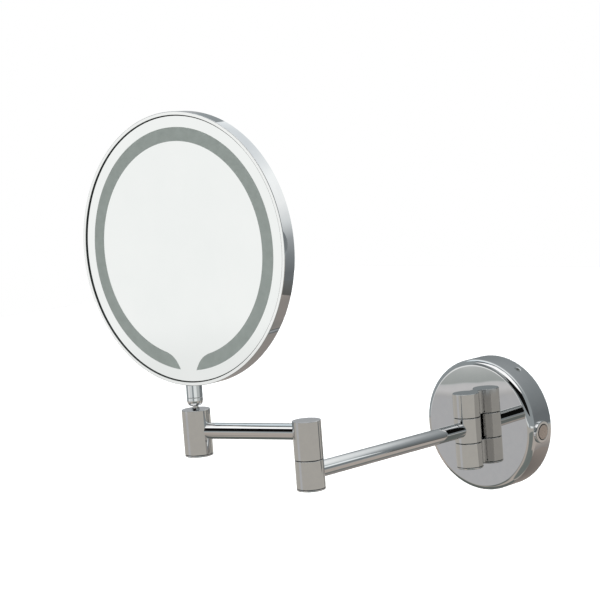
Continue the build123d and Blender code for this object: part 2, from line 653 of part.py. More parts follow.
tray = pipe_y(TRAY_R, CHANNEL_OUTER_R, RIM_STEP_Y, TRAY_PLATE_Y[1])
tray += pipe_y(CHANNEL_INNER_R, TRAY_HOLE_R, RIM_STEP_Y, TRAY_PLATE_Y[1])
tray += rod_y(CHANNEL_OUTER_R + 1, *TRAY_PLATE_Y)
COVER_SCREW_R = 60.0
cover_screw_spots = []
for turn in range(4):
    angle = radians(45 + 90 * turn)
    cover_screw_spots.append((COVER_SCREW_R * cos(angle), COVER_SCREW_R * sin(angle)))
for x, z in cover_screw_spots:
    tray += rod_y(3.5, TRAY_PLATE_Y[1] - 0.5, COVER_Y[0], x=x, z=z)
    tray -= rod_y(SCREW_PILOT_R, 0, 6, x=x, z=z)
tray -= neck_notch
NECK_SCREW_X = 5.0
NECK_SCREW_Z = -90.0
for side in (-1, 1):
    tray -= rod_y(SCREW_PILOT_R, 2, 5, x=side * NECK_SCREW_X, z=NECK_SCREW_Z)
save("head_tray", tray, at=AT_HEAD)

# the neck's threaded spigot is held in a block behind the glass, screwed up to the tray
neck_block = block((-BLOCK_X, BLOCK_X), (RIM_STEP_Y, TRAY_PLATE_Y[0]), BLOCK_Z)
neck_block &= rod_y(RIM_LIP_R, -5, 5)
neck_block -= rod(SPIGOT_R, -HEAD_R, -SPIGOT_END_R)
neck_block -= rod(LEAD_BORE_R, -HEAD_R, -80)
block_screws = []
for side in (-1, 1):
    neck_block -= rod_y(1.2, -1.4, 5, x=side * NECK_SCREW_X, z=NECK_SCREW_Z)
    spot = Location((side * NECK_SCREW_X, TRAY_PLATE_Y[1] + 0.5, NECK_SCREW_Z), (-90, 0, 0))
    block_screws.append(spot * screw(head_r=2.2, head_h=0.5, shank_r=1.15, length=4.5))
save("neck_block", neck_block, at=AT_HEAD)
save("neck_block_screws", *block_screws, at=AT_HEAD)

# opal diffuser, circuit board and light-emitting diodes fill the channel, open at the neck block
DIFFUSER_T = 1.1
DIFFUSER_GAP = 7.4
BOARD_GAP = 11.0


def channel_ring(outer, inner, front, back, gap):
    """A flat ring in the light channel, open at the bottom over this half width."""
    return pipe_y(outer, inner, front, back) - block((-gap, gap), (-9, 9), (-100, -60))


diffuser_back = COAT_BACK_Y + DIFFUSER_T
diffuser_radii = (CHANNEL_OUTER_R - 0.2, CHANNEL_INNER_R + 0.2)
diffuser = channel_ring(*diffuser_radii, COAT_BACK_Y, diffuser_back, DIFFUSER_GAP)
save("light_diffuser", diffuser, at=AT_HEAD)
BOARD_Y = (1.6, TRAY_PLATE_Y[0])
board_outer_r = 89.0
board_inner_r = 79.0
save("led_board", channel_ring(board_outer_r, board_inner_r, *BOARD_Y, BOARD_GAP), at=AT_HEAD)

LED_COUNT = 40
LED_SIDE = 2.8
LED_T = 0.7
led_r = (board_outer_r + board_inner_r) / 2
GAP_ANGLE = 12.0
first_angle = -90 + GAP_ANGLE
last_angle = 270 - GAP_ANGLE
leds = []
for number in range(LED_COUNT):
    angle = first_angle + (last_angle - first_angle) * number / (LED_COUNT - 1)
    spot = Location((0, 0, 0), (0, -angle, 0)) * Location((led_r, BOARD_Y[0] - LED_T / 2, 0))
    leds.append(spot * Box(LED_SIDE, LED_T, LED_SIDE))
save("leds", *leds, at=AT_HEAD)

SKIRT_T = 1.3
COVER_EDGE_R = 0.5
SUNK_HEAD_H = 1.15
cover = rod_y(TRAY_R, *COVER_Y) + pipe_y(TRAY_R, TRAY_R - SKIRT_T, TRAY_PLATE_Y[1], COVER_Y[1])
cover = fillet(cover.edges().filter_by(GeomType.CIRCLE).sort_by(Axis.Y)[-1], COVER_EDGE_R)
cover_screws = []
for x, z in cover_screw_spots:
    spot = Location((x, COVER_Y[1], z), (-90, 0, 0))
    cover -= spot * turned((0, 0.01), (2.9, 0.01), (1.4, -SUNK_HEAD_H), (1.4, -3), (0, -3))
    cover_screws.append(spot * countersunk(head_r=2.8, head_h=SUNK_HEAD_H, shank_r=1.25, length=2.7))
save("rear_cover", cover, at=AT_HEAD)
save("rear_cover_screws", *cover_screws, at=AT_HEAD)

LEAD_TURN_Z = -80.0
lead_start = (0, 0, head_lead_start - HEAD_RISE)
save("head_lead", lead(lead_start, (0, 0, LEAD_TURN_Z), (14.0, 0, LEAD_TURN_Z)), at=AT_HEAD)

# ------------------------------------------------------------ leads inside the rose
HINGE_LEAD_Y = -12.5
hinge_lead = lead(
    (DRIVER_X[1], HINGE_LEAD_Y, lead_exit_z),
    (0, HINGE_LEAD_Y, lead_exit_z),
    (0, HINGE_Y, lead_exit_z),
    (0, HINGE_Y, wall_cut_z),
)
save("hinge_lead", hinge_lead)

# the supply side goes from the terminals to one switch tab, the driver side from the other to the driver
TAB_X = 25.9
TAB_Z = -1.6
SUPPLY_X = 20.0
SUPPLY_Y = -10.2
SWITCHED_Y = -16.5
DRIVER_END_Y = -13.0
DRIVER_END_Z = 6.0
save("supply_lead", lead(
    (SUPPLY_X, SUPPLY_Y, TERMINAL_Z[0]), (SUPPLY_X, SUPPLY_Y, TAB_Z), (TAB_X, SUPPLY_Y, TAB_Z)
))
save("driver_lead", lead(
    (TAB_X, SWITCHED_Y, TAB_Z), (12.0, SWITCHED_Y, TAB_Z),
    (2.0, DRIVER_END_Y, DRIVER_END_Z), (DRIVER_X[1], DRIVER_END_Y, DRIVER_END_Z)
))
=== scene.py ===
import json
from math import acos, asin, atan2, cos, degrees, hypot, pi, radians, sin, sqrt, tan

import bmesh
import bpy
from mathutils import Matrix, Vector


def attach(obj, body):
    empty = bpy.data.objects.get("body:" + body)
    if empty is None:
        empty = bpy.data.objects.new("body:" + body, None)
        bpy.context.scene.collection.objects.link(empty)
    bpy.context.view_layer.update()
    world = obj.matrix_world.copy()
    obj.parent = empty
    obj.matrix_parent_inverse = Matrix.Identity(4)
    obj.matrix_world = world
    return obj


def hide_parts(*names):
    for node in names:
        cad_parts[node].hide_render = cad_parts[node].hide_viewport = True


# Extendable shaving mirror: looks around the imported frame. Lengths in the helpers are in millimetres.
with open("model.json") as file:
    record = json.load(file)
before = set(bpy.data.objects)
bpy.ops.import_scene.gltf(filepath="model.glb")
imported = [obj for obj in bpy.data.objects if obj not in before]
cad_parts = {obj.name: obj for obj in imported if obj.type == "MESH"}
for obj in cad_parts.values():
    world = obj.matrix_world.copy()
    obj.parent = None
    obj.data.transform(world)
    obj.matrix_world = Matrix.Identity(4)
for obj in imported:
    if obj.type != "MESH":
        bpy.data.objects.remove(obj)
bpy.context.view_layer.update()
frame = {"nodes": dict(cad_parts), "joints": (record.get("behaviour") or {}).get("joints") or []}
MM = 0.001
scene = bpy.context.scene
joint_at = {joint["name"]: Vector(joint["pos_m"]) for joint in frame["joints"] if "pos_m" in joint}

# ------------------------------------------------------------ the object's sizes, as in the CAD model
# wall rose, with its switch and grub screws
ROSE_R, ROSE_DEPTH, ROSE_EDGE_R, ROSE_WALL = 52.5, 25.0, 5.0, 1.5
SWITCH_Y, SWITCH_ANGLE = -13.5, -3.5
GRUB_Y, GRUB_ANGLES = -7.0, (56.5, 236.5)
# knuckles: round bar with bores, the hinge's standoff and web, and the seams between them
KNUCKLE_R, PIVOT_R, SOCKET_R, STANDOFF, WEB_HALF = 10.5, 5.0, 7.5, 13.0, 4.0
EDGE_BREAK, FINE_EDGE, CLEARANCE, PRESS_FIT = 0.3, 0.1, 0.05, 0.02
SEAM_HALF = 0.25
RING_TOP, RING_BOTTOM, EAR_H = 9.4, -10.6, 19.0
ELBOW_BOTTOM, ELBOW_TOP, ELBOW_WEB = -11.3, 37.6, 4.9
POST_BOTTOM, POST_TOP, POST_WEB = 12.4, 45.4, 4.5
# arms
TUBE_R, TUBE_BORE_R, TUBE_START = 6.0, 5.0, 8.2
UPPER_ARM_Z = 29.2
# ball joint and neck
BALL_Z, BALL_R, STUD_R, STUD_BORE_R, WAIST_R = 51.1, 4.0, 3.0, 1.5, 2.2
NECK_R, CAVITY_R = 5.9, 4.8
# head
HEAD_RISE, HEAD_R, HEAD_YAW, HEAD_TILT = 112.4, 100.0, 4.3, 0.9
FRONT_Y, GLASS_FRONT_Y, GLASS_BACK_Y, GLASS_R = -5.5, -4.4, -2.4, 97.0

# ------------------------------------------------------------ frames of the moving groups
hinge, elbow, post = joint_at["wall_hinge"], joint_at["elbow_hinge"], joint_at["post_swivel"]


def flat(point):
    """A frame at a joint's place, brought down to height 0."""
    return Matrix.Translation((point.x, point.y, 0))


def yaw_between(start, end):
    """The turn about Z that points local -Y from one pivot to the next."""
    return Matrix.Rotation(atan2(end.x - start.x, start.y - end.y), 4, "Z")


LOWER_TURN, UPPER_TURN = yaw_between(hinge, elbow), yaw_between(elbow, post)
AT_HINGE = flat(hinge)
AT_LOWER = AT_HINGE @ LOWER_TURN
AT_ELBOW = flat(elbow) @ LOWER_TURN
AT_UPPER = flat(elbow) @ UPPER_TURN
AT_POST = flat(post) @ UPPER_TURN
AT_BALL = Matrix.Translation((post.x, post.y, BALL_Z * MM)) @ Matrix.Rotation(radians(HEAD_YAW), 4, "Z")
AT_NECK = AT_BALL @ Matrix.Rotation(radians(-HEAD_TILT), 4, "X")
AT_HEAD = AT_NECK @ Matrix.Translation((0, 0, HEAD_RISE * MM))
ALONG_MINUS_Y = Matrix.Rotation(radians(90), 4, "X")
ALONG_X = Matrix.Rotation(radians(90), 4, "Y")


def at_rim(angle, y):
    """A frame on the rose's rim whose Z axis points outwards at this angle."""
    return Matrix.Translation((0, y * MM, 0)) @ Matrix.Rotation(radians(-angle), 4, "Y") @ ALONG_X


AT_SWITCH = at_rim(SWITCH_ANGLE, SWITCH_Y)

# ------------------------------------------------------------ mesh helpers
BIG_SIDES, PLAIN_SIDES, HOLE_SIDES = 192, 96, 48


def arc(centre, radius, start, end, steps):
    """Points on a circle in the profile plane, angles in degrees."""
    turns = [radians(start + (end - start) * i / steps) for i in range(steps + 1)]
    return [(centre[0] + radius * cos(t), centre[1] + radius * sin(t)) for t in turns]


def rounded(corners, steps=5):
    """A closed or open profile of (radius, height[, corner radius]); corner radii become arcs."""
    points = []
    count = len(corners)
    for i, corner in enumerate(corners):
        here = Vector(corner[:2])
        if len(corner) < 3:
            points.append(tuple(here))
            continue
        back = (Vector(corners[i - 1][:2]) - here).normalized()
        on = (Vector(corners[(i + 1) % count][:2]) - here).normalized()
        half = acos(max(-1, min(1, back.dot(on)))) / 2
        centre = here + (back + on).normalized() * corner[2] / sin(half)
        first = here + back * corner[2] / tan(half) - centre
        last = here + on * corner[2] / tan(half) - centre
        swing = first.angle_signed(last)
        for k in range(steps + 1):
            spoke = first.copy()
            spoke.rotate(Matrix.Rotation(-swing * k / steps, 2))
            points.append(tuple(centre + spoke))
    return points


def settle(bm, name, smooth_angle=35):
    """Turns a bmesh into an object with outward faces and soft shading inside the sharp edges."""
    bmesh.ops.recalc_face_normals(bm, faces=bm.faces)
    mesh = bpy.data.meshes.new(name)
    bm.to_mesh(mesh)
    bm.free()
    piece = bpy.data.objects.new(name, mesh)
    scene.collection.objects.link(piece)
    shade(piece, smooth_angle)
    return piece


def shade(piece, smooth_angle=35):
    """Soft shading over a piece, kept hard at edges sharper than the angle."""
    for polygon in piece.data.polygons:
        polygon.use_smooth = True
    piece.data.set_sharp_from_angle(angle=radians(smooth_angle))
    weighted = piece.modifiers.new("face_weighted", "WEIGHTED_NORMAL")
    weighted.keep_sharp = True
    weighted.weight = 90


def skin(name, rings, at, loop=False, smooth_angle=35):
    """A surface through rings of points; a ring of one point is a pole; loop joins the last to the first."""
    bm = bmesh.new()
    rows = [[bm.verts.new(at @ (Vector(point) * MM)) for point in ring] for ring in rings]
    pairs = list(zip(rows, rows[1:])) + ([(rows[-1], rows[0])] if loop else [])
    for one, two in pairs:
        count = max(len(one), len(two))
        for i in range(count):
            j = (i + 1) % count
            corners = []
            for vert in (one[i % len(one)], one[j % len(one)], two[j % len(two)], two[i % len(two)]):
                if vert not in corners:
                    corners.append(vert)
            if len(corners) > 2:
                bm.faces.new(corners)
    return settle(bm, name, smooth_angle)


def lathe(name, profile, at, segments=PLAIN_SIDES, depthwise=False):
    """Turns a (radius, height) profile about Z, or about Y; it is closed unless it ends on the axis."""
    rings = []
    for radius, height in profile:
        steps = 1 if radius < 1e-6 else segments
        ring = []
        for k in range(steps):
            turn = 2 * pi * k / segments
            across, up = radius * cos(turn), radius * sin(turn)
            ring.append((across, height, up) if depthwise else (across, up, height))
        rings.append(ring)
    return skin(name, rings, at, loop=profile[0][0] > 1e-6)


def cut(piece, *cutters):
    """Takes the cutters out of a piece and leaves a plain mesh with no finish."""
    piece.modifiers.clear()
    for cutter in cutters:
        away = piece.modifiers.new("cut", "BOOLEAN")
        away.object = cutter
        away.solver = "EXACT"
    bpy.context.view_layer.update()
    shaped = piece.evaluated_get(bpy.context.evaluated_depsgraph_get())
    mesh = bpy.data.meshes.new_from_object(shaped)
    piece.modifiers.clear()
    piece.data = mesh
    mesh.materials.clear()
    for cutter in cutters:
        bpy.data.objects.remove(cutter)
    shade(piece)


def paint(piece, at, finishes, choose):
    """Gives a piece several finishes; choose numbers a face's from its middle, in at's frame, in mm."""
    for finish in finishes:
        piece.data.materials.append(finish)
    into = at.inverted()
    for polygon in piece.data.polygons:
        polygon.material_index = int(choose(into @ polygon.center / MM))


# ------------------------------------------------------------ materials


def linear(*levels):
    """A colour from display levels of 0 to 255."""
    out = []
    for level in levels:
        v = level / 255
        out.append(v / 12.92 if v <= 0.04045 else ((v + 0.055) / 1.055) ** 2.4)
    return (*out, 1.0)


# the part of each noise's range over which a finish changes, and how much coarser smudges are than grain
GRAIN_LOW, GRAIN_HIGH, SMUDGE_LOW, SMUDGE_HIGH, SMUDGE_SCALE = 0.3, 0.7, 0.35, 0.75, 0.35


def surface(name, dark, light, rough, metallic=0.0, scale=300.0, stretch=(1, 1, 1), detail=4.0,
            bump=0.0, waviness=0.0, wave_scale=45.0, **sockets):
    """A Principled finish whose colour and roughness drift with fine noise; bump and waviness are in mm."""
    mat = bpy.data.materials.new(name)
    mat.use_nodes = True
    nodes, links = mat.node_tree.nodes, mat.node_tree.links
    shader = nodes["Principled BSDF"]
    shader.inputs["Metallic"].default_value = metallic
    for socket, value in sockets.items():
        shader.inputs[socket.replace("_", " ")].default_value = value
    place = nodes.new("ShaderNodeTexCoord")
    mapping = nodes.new("ShaderNodeMapping")
    mapping.inputs["Scale"].default_value = stretch
    links.new(place.outputs["Object"], mapping.inputs["Vector"])
    noise = nodes.new("ShaderNodeTexNoise")
    noise.inputs["Scale"].default_value = scale
    noise.inputs["Detail"].default_value = detail
    links.new(mapping.outputs["Vector"], noise.inputs["Vector"])
    ramp = nodes.new("ShaderNodeValToRGB")
    ramp.color_ramp.elements[0].position = GRAIN_LOW
    ramp.color_ramp.elements[1].position = GRAIN_HIGH
    ramp.color_ramp.elements[0].color = dark
    ramp.color_ramp.elements[1].color = light
    links.new(noise.outputs["Fac"], ramp.inputs["Fac"])
    links.new(ramp.outputs["Color"], shader.inputs["Base Color"])
    smudge = nodes.new("ShaderNodeTexNoise")
    smudge.inputs["Scale"].default_value = scale * SMUDGE_SCALE
    smudge.inputs["Detail"].default_value = 6.0
    links.new(mapping.outputs["Vector"], smudge.inputs["Vector"])
    spread = nodes.new("ShaderNodeMapRange")
    spread.inputs["From Min"].default_value = SMUDGE_LOW
    spread.inputs["From Max"].default_value = SMUDGE_HIGH
    spread.inputs["To Min"].default_value, spread.inputs["To Max"].default_value = rough
    links.new(smudge.outputs["Fac"], spread.inputs["Value"])
    links.new(spread.outputs["Result"], shader.inputs["Roughness"])
    normal = None
    for height, depth, frequency in ((noise, bump, None), (None, waviness, wave_scale)):
        if not depth:
            continue
        if height is None:
            height = nodes.new("ShaderNodeTexNoise")
            height.inputs["Scale"].default_value = frequency
            height.inputs["Detail"].default_value = 1.0
            links.new(place.outputs["Object"], height.inputs["Vector"])
        relief = nodes.new("ShaderNodeBump")
        relief.inputs["Strength"].default_value = 1.0
        relief.inputs["Distance"].default_value = depth * MM
        links.new(height.outputs["Fac"], relief.inputs["Height"])
        if normal:
            links.new(normal.outputs["Normal"], relief.inputs["Normal"])
        normal = relief
    if normal:
        links.new(normal.outputs["Normal"], shader.inputs["Normal"])
    return mat


# the share of light that the chrome gives back, used to work out what the surround has to be
CHROME_REFLECTS = 0.68
CHROME = dict(dark=(0.665, 0.667, 0.672, 1), light=(0.69, 0.69, 0.69, 1), metallic=1.0, scale=220.0,
              detail=5.0)
FINISH = {
    "chrome_plate": surface("chrome_plate", rough=(0.008, 0.035), **CHROME),
    "switch_metal": surface("switch_metal", linear(196, 184, 176), linear(214, 203, 196), (0.26, 0.36),
                            metallic=1.0, scale=500.0, stretch=(1, 12, 1), bump=0.002),
    "zinc_steel": surface("zinc_steel", linear(160, 162, 161), linear(182, 183, 179), (0.3, 0.45),
                          metallic=1.0, scale=180.0, bump=0.004),
    "spring_steel": surface("spring_steel", linear(110, 112, 116), linear(158, 160, 163), (0.2, 0.36),
                            metallic=1.0, scale=600.0, stretch=(1, 1, 8), bump=0.002),
    "bare_brass": surface("bare_brass", linear(178, 140, 72), linear(214, 178, 106), (0.2, 0.4),
                          metallic=1.0, scale=500.0, bump=0.003),
    "black_nylon": surface("black_nylon", linear(20, 20, 21), linear(40, 40, 42), (0.45, 0.65),
                           scale=900.0, bump=0.01),
    "soft_rubber": surface("soft_rubber", linear(28, 28, 28), linear(52, 51, 50), (0.7, 0.9),
                           scale=700.0, bump=0.02),
    "white_plastic": surface("white_plastic", linear(214, 213, 206), linear(236, 235, 230), (0.35, 0.5),
                             scale=500.0, bump=0.006),
    "lead_sheath": surface("lead_sheath", linear(218, 217, 210), linear(234, 233, 228), (0.4, 0.6),
                           scale=450.0, stretch=(1, 6, 1), bump=0.01),
    "foam_tape": surface("foam_tape", linear(60, 61, 62), linear(104, 105, 105), (0.85, 1.0),
                         scale=1400.0, bump=0.05),
    "opal_plastic": surface("opal_plastic", linear(222, 224, 220), linear(240, 241, 238), (0.4, 0.55),
                            scale=400.0, bump=0.004),
    "circuit_board": surface("circuit_board", linear(228, 230, 228), linear(244, 245, 243), (0.3, 0.5),
                             scale=260.0, bump=0.008),
    "led_phosphor": surface("led_phosphor", linear(226, 205, 110), linear(245, 230, 150), (0.4, 0.6),
                            scale=900.0, bump=0.01),
    "cover_metal": surface("cover_metal", linear(176, 178, 178), linear(206, 207, 206), (0.3, 0.42),
                           metallic=1.0, scale=260.0, stretch=(1, 1, 14), bump=0.002),
    "silvering": surface("silvering", (0.79, 0.803, 0.798, 1), (0.81, 0.82, 0.815, 1), (0.0, 0.012),
                         metallic=1.0, scale=26.0, detail=3.0),
    "clear_glass": surface("clear_glass", linear(96, 120, 110), linear(128, 150, 140), (0.05, 0.12),
                           scale=120.0, Coat_Weight=0.6),
}
ROSE_CHROME = surface("chrome_plate_drawn", rough=(0.0, 0.012), waviness=0.04, wave_scale=26.0, **CHROME)
FROSTED = surface("frosted_glass", linear(125, 131, 127), linear(131, 137, 133), (0.5, 0.6),
                  scale=160.0, detail=3.0, Specular_IOR_Level=0.15)
# a brighter copy of the chrome: painted highlight on the rim lip's front face
LIP_CHROME_PAINTED_HIGHLIGHT = surface("chrome_plate_lip_painted_highlight", (0.79, 0.795, 0.79, 1), (0.805, 0.81, 0.805, 1), (0.0, 0.02),
                     metallic=1.0, scale=220.0)
# a dark seal finish: the glass's own edge seal, and painted shade on the rim lip's inner wall in the gap
# round the glass
EDGE_SEAL_AND_GAP_SHADE = surface("glass_edge_seal_and_gap_shade", linear(30, 34, 33), linear(54, 60, 58), (0.25, 0.4),
                    scale=400.0, bump=0.01)
BACK_PAINT = surface("mirror_back_paint", linear(96, 100, 104), linear(120, 124, 128), (0.5, 0.7),
                     scale=300.0, bump=0.01)

slot_of = {}
for name, node in frame["nodes"].items():
    slot_of[name] = node.data.materials[0].name.split(".")[0]
    node.data.materials[0] = FINISH[slot_of[name]]


def fit(piece, body, *nodes, finish=None):
    """Gives a piece its finish, hangs it on its body and puts it in the place of its CAD nodes."""
    slot = slot_of[nodes[0]]
    if not piece.data.materials:
        piece.data.materials.append(finish or FINISH[slot])
    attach(piece, body)
    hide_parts(*nodes)


# ------------------------------------------------------------ wall rose
CUP_ROWS = 12
SWITCH_HOLE_R, GRUB_HOLE_R, GRUB_SINK_R, GRUB_SINK_DEPTH = 7.05, 2.05, 2.9, 0.75
# both drills start inside the cup and end outside it
DRILL_LOW, DRILL_HIGH, GRUB_DRILL_LOW, GRUB_DRILL_HIGH = 40, 60, 45, 56


def cup_profile(radius, depth, edge, rows):
    """The rose's outline from its face centre round the edge to the wall, with rows across the rim."""
    side = [(radius, -depth + edge + (depth - edge) * k / rows) for k in range(1, rows + 1)]
    return [(0, -depth)] + arc((radius - edge, -depth + edge), edge, -90, 0, 16) + side


def bore_tool(radius, at):
    """A drill through the rim."""
    profile = [(0, DRILL_LOW), (radius, DRILL_LOW), (radius, DRILL_HIGH), (0, DRILL_HIGH)]
    return lathe("tool", profile, at, HOLE_SIDES)


def grub_tool(angle):
    """A grub screw's hole with a small countersink in the rim."""
    profile = [
        (0, GRUB_DRILL_LOW), (GRUB_HOLE_R, GRUB_DRILL_LOW), (GRUB_HOLE_R, ROSE_R - GRUB_SINK_DEPTH),
        (GRUB_SINK_R, ROSE_R + CLEARANCE), (GRUB_SINK_R, GRUB_DRILL_HIGH), (0, GRUB_DRILL_HIGH)]
    return lathe("tool", profile, at_rim(angle, GRUB_Y), HOLE_SIDES)


outer_side = cup_profile(ROSE_R, ROSE_DEPTH, ROSE_EDGE_R, CUP_ROWS)
inner_side = cup_profile(ROSE_R - ROSE_WALL, ROSE_DEPTH - ROSE_WALL, ROSE_EDGE_R - ROSE_WALL, CUP_ROWS)
cup = outer_side + inner_side[::-1]
rose = lathe("rose_shell_chromed", cup, Matrix.Identity(4), BIG_SIDES, depthwise=True)
cut(rose, bore_tool(SWITCH_HOLE_R, AT_SWITCH), *[grub_tool(angle) for angle in GRUB_ANGLES])
fit(rose, "wall_mount", "rose_shell", finish=ROSE_CHROME)

# ------------------------------------------------------------ push switch
BARREL_LOW, BARREL_R, BORE_FLOOR = 40, 7.0, 48.0
BEZEL_LOW, BEZEL_TOP, BEZEL_R = 51.9, 54.5, 9.0
BUTTON_BORE_R, BUTTON_R, BUTTON_LOW, BUTTON_TOP = 6.25, 5.9, 50.5, BEZEL_TOP + 0.4
STEM_HOLE_R, STEM_R, STEM_LOW = 3.5, 3.45, 44
FOOT_EDGE, FACE_EDGE, BORE_EDGE, BUTTON_EDGE = 0.25, 0.9, 0.2, 0.5
bezel = lathe("switch_bezel_ring", rounded([
    (BARREL_R, BARREL_LOW), (BARREL_R, BEZEL_LOW), (BEZEL_R, BEZEL_LOW, FOOT_EDGE),
    (BEZEL_R, BEZEL_TOP, FACE_EDGE), (BUTTON_BORE_R, BEZEL_TOP, BORE_EDGE), (BUTTON_BORE_R, BORE_FLOOR),
    (STEM_HOLE_R, BORE_FLOOR), (STEM_HOLE_R, BARREL_LOW)]), AT_SWITCH)
button = lathe("switch_button_cap", rounded([
    (0, STEM_LOW), (STEM_R, STEM_LOW), (STEM_R, BUTTON_LOW), (BUTTON_R, BUTTON_LOW),
    (BUTTON_R, BUTTON_TOP, BUTTON_EDGE), (0, BUTTON_TOP)]), AT_SWITCH)


def in_bezel_bore(point):
    """Whether a point of the bezel is on the wall of the button's bore."""
    return hypot(point.x, point.y) < BUTTON_BORE_R + 0.01 and point.z > BORE_FLOOR


def on_button_side(point):
    """Whether a point of the button is on its side and not on its top."""
    return hypot(point.x, point.y) > BUTTON_R - 0.2


# a dark rubber finish on the bezel's bore and on the button's side: painted shade in the gap round the button
paint(bezel, AT_SWITCH, (FINISH["chrome_plate"], FINISH["soft_rubber"]), in_bezel_bore)
paint(button, AT_SWITCH, (FINISH["switch_metal"], FINISH["soft_rubber"]), on_button_side)
fit(bezel, "wall_mount", "switch_bezel")
fit(button, "switch_button", "switch_button")

# ------------------------------------------------------------ wall hinge


def ear_ring(z, inset):
    """An ear's outline at one height, drawn in by an inset: round bar with a flat web back to the rose."""
    radius, half = KNUCKLE_R - inset, WEB_HALF - inset
    root = acos(half / radius)
    root_y = radius * sin(root)
    bar_sides, web_steps = 64, 4
    ring = []
    for k in range(bar_sides + 1):
        turn = pi - root + (pi + 2 * root) * k / bar_sides
        ring.append((radius * cos(turn), radius * sin(turn), z))
    rising = [root_y + (STANDOFF - root_y) * k / web_steps for k in range(1, web_steps + 1)]
    ring += [(half, y, z) for y in rising]
    ring += [(half - 2 * half * k / web_steps, STANDOFF, z) for k in range(1, web_steps + 1)]
    ring += [(-half, y, z) for y in rising[-2::-1]]
    return ring


def bore_ring(z, radius):
    """A ring of the bore with one point for each point of the outline, in the same directions."""
    ring = []
    for x, y, _ in ear_ring(z, 0):
        length = hypot(x, y)
        ring.append((x / length * radius, y / length * radius, z))
    return ring


def quarter(z, sign, steps=4):
    """Outlines round one edge of an ear: z is the end face, sign points from it into the ear."""
    rings = []
    for k in range(steps + 1):
        turn = radians(90 * k / steps)
        rings.append(ear_ring(z + sign * EDGE_BREAK * (1 - cos(turn)), EDGE_BREAK * (1 - sin(turn))))
    return rings


upper_low, upper_high = RING_TOP + SEAM_HALF, RING_TOP + EAR_H
lower_high, lower_low = RING_BOTTOM - SEAM_HALF, RING_BOTTOM - EAR_H
PIVOT_GRIP = 6.2
bore_end = upper_low + PIVOT_GRIP
upper_ear = skin("hinge_ear_upper_bar", [
    [(0, 0, bore_end)], bore_ring(bore_end, PIVOT_R),
    bore_ring(upper_low, PIVOT_R), *quarter(upper_low, 1), *quarter(upper_high, -1)[::-1],
    [(0, 0, upper_high)]], AT_HINGE)
fit(upper_ear, "wall_mount", "hinge_ear_upper")
lower_ear = skin("hinge_ear_lower_bar", [
    bore_ring(lower_low, PIVOT_R), *quarter(lower_low, 1), *quarter(lower_high, -1)[::-1],
    bore_ring(lower_high, PIVOT_R)], AT_HINGE, loop=True)
fit(lower_ear, "wall_mount", "hinge_ear_lower")


CAP_T, CAP_SEAM_H, CAP_SEAM_DEPTH, CAP_PLUG, CAP_EDGE = 1.6, 0.4, 0.5, 2, 0.6


def cap(name, bore_r, seat_z, at):
    """A knuckle's bottom cap: rounded disc, recessed seam painted black as painted shade in the groove, plug
    in the bore.
    """
    seam_r, plug_r = KNUCKLE_R - CAP_SEAM_DEPTH, bore_r - CLEARANCE
    low, disc_top = seat_z - CAP_T, seat_z - CAP_SEAM_H
    piece = lathe(name, rounded([
        (0, low), (KNUCKLE_R, low, CAP_EDGE), (KNUCKLE_R, disc_top, FINE_EDGE), (seam_r, disc_top),
        (seam_r, seat_z), (plug_r, seat_z), (plug_r, seat_z + CAP_PLUG), (0, seat_z + CAP_PLUG)]), at)
    # black nylon on the recessed seam: painted shade in the groove
    chrome_and_seam_shade = (FINISH["chrome_plate"], FINISH["black_nylon"])
    paint(piece, at, chrome_and_seam_shade, lambda point: disc_top < point.z < seat_z)
    return piece


def bar(name, low, high, inside, at):
    """A knuckle of round bar with broken edges; inside is its bore's profile, from the top down."""
    return lathe(name, rounded([(KNUCKLE_R, low, EDGE_BREAK), (KNUCKLE_R, high, EDGE_BREAK)] + inside), at)


fit(cap("wall_hinge_cap_disc", PIVOT_R, lower_low, AT_HINGE), "wall_mount", "wall_hinge_cap")
ring_low, ring_high = RING_BOTTOM + SEAM_HALF, RING_TOP - SEAM_HALF
ring_bore = [(PIVOT_R, ring_high), (PIVOT_R, ring_low)]
ring = bar("wall_hinge_ring_bar", ring_low, ring_high, ring_bore, AT_LOWER)
fit(ring, "lower_arm", "wall_hinge_ring")

# ------------------------------------------------------------ arms, elbow and post


def tube(name, start, end, z, at):
    """An arm's tube from inside one knuckle's wall to inside the next."""
    length = (end - start).length / MM
    along = at @ Matrix.Translation((0, 0, z * MM)) @ ALONG_MINUS_Y
    low, high = TUBE_START, length - TUBE_START
    return lathe(name, [(TUBE_R, low), (TUBE_R, high), (TUBE_BORE_R, high), (TUBE_BORE_R, low)], along, 128)


flat_hinge, flat_elbow, flat_post = (Vector((p.x, p.y, 0)) for p in (hinge, elbow, post))
lower_tube = tube("lower_arm_tube_plated", flat_hinge, flat_elbow, 0, AT_LOWER)
fit(lower_tube, "lower_arm", "lower_arm_tube")
upper_tube = tube("upper_arm_tube_plated", flat_elbow, flat_post, UPPER_ARM_Z, AT_UPPER)
fit(upper_tube, "upper_arm", "upper_arm_tube")

elbow_lower = bar("elbow_lower_knuckle_bar", ELBOW_BOTTOM, ring_high, [
    (PIVOT_R, ring_high), (PIVOT_R, ELBOW_WEB), (SOCKET_R, ELBOW_WEB), (SOCKET_R, ELBOW_BOTTOM)], AT_ELBOW)
fit(elbow_lower, "lower_arm", "elbow_lower_knuckle")
fit(cap("elbow_cap_disc", SOCKET_R, ELBOW_BOTTOM, AT_ELBOW), "lower_arm", "elbow_cap")
ELBOW_ROOF = 3
elbow_bore_top = ELBOW_TOP - ELBOW_ROOF
elbow_upper = lathe("elbow_upper_knuckle_bar", rounded([
    (0, elbow_bore_top), (PIVOT_R, elbow_bore_top), (PIVOT_R, upper_low), (KNUCKLE_R, upper_low, EDGE_BREAK),
    (KNUCKLE_R, ELBOW_TOP, EDGE_BREAK), (0, ELBOW_TOP)]), AT_UPPER)
fit(elbow_upper, "upper_arm", "elbow_upper_knuckle")

